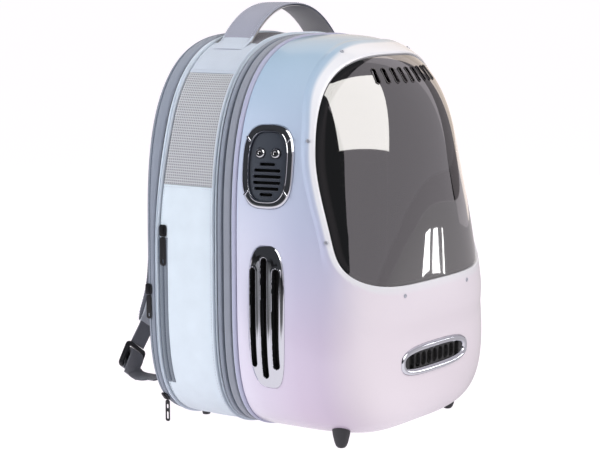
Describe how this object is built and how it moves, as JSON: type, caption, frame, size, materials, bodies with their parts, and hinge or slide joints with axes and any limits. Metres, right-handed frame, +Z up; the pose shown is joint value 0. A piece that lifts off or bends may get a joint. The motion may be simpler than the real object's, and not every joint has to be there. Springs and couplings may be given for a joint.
{
  "type": "pet carrier backpack",
  "caption": "Upright pet carrier backpack: glossy moulded front dome with a smoked bubble window, fan module and vents, zipped to a soft fabric body with handle, padded back and straps.",
  "frame": {"origin": "on the floor under the middle of the part's box", "axes": "+Z up, -Y towards the window side, +Y towards the wearer's back, +X to the right of someone who looks at the window"},
  "size_m": [0.3278, 0.327, 0.46],
  "materials": {
    "shell_paint": "glossy paint fading from sky blue at the top to pink at the bottom",
    "smoked_window": "smoked clear plastic, polished",
    "chrome": "bright chrome plating",
    "dark_panel": "satin dark plastic",
    "black_plastic": "satin black plastic",
    "foot_rubber": "matt charcoal rubber",
    "pale_trim": "white coated piping",
    "grey_tape": "grey woven tape",
    "coated_cloth": "pale coated cloth, slightly wrinkled",
    "air_mesh": "grey knitted air mesh",
    "top_cloth": "dark grey woven cloth",
    "handle_cloth": "smooth lavender grey cloth",
    "pad_cloth": "grey padded mesh cloth"
  },
  "bodies": {
    "carrier": {"front_shell": "shell_paint", "window": "smoked_window", "window_screw_1": "chrome", "window_screw_2": "chrome", "window_screw_3": "chrome", "window_screw_4": "chrome", "window_screw_5": "chrome", "window_screw_6": "chrome", "window_screw_7": "chrome", "window_screw_8": "chrome", "fan_bezel": "chrome", "fan_panel": "dark_panel", "side_grille": "chrome", "vent_trim": "chrome", "vent_grille": "black_plastic", "front_foot_left": "foot_rubber", "front_foot_right": "foot_rubber", "rear_foot_left": "foot_rubber", "rear_foot_right": "foot_rubber", "rim_trim": "pale_trim", "zip_tape_front": "grey_tape", "zip_tape_rear": "grey_tape", "front_piping": "pale_trim", "back_piping": "pale_trim", "back_band": "grey_tape", "gusset": "coated_cloth", "mesh_right": "air_mesh", "mesh_left": "air_mesh", "handle_patch_right": "coated_cloth", "handle_patch_left": "coated_cloth", "top_panel": "top_cloth", "back_panel": "pad_cloth", "top_handle": "handle_cloth", "handle_lining": "air_mesh", "strap_right": "pad_cloth", "strap_left": "pad_cloth", "strap_web_upper_right": "grey_tape", "strap_web_upper_left": "grey_tape", "strap_web_lower_right": "grey_tape", "strap_web_lower_left": "grey_tape", "strap_buckle_right": "black_plastic", "strap_buckle_left": "black_plastic", "pocket_zip": "grey_tape", "pocket_slider": "black_plastic", "pocket_pull": "black_plastic", "door_slider": "black_plastic", "door_pull": "black_plastic", "corner_slider": "black_plastic", "corner_pull": "black_plastic"},
    "lamp_button": {"lamp_button": "chrome"},
    "fan_button": {"fan_button": "chrome"}
  },
  "joints": [
    {"name": "lamp_button_press", "type": "slide", "parent": "carrier", "child": "lamp_button", "axis": [0.9637, 0.217, -0.1553], "range_m": [0, 0.001], "stiffness_N_per_m": 400},
    {"name": "fan_button_press", "type": "slide", "parent": "carrier", "child": "fan_button", "axis": [0.9637, 0.217, -0.1553], "range_m": [0, 0.001], "stiffness_N_per_m": 400}
  ]
}
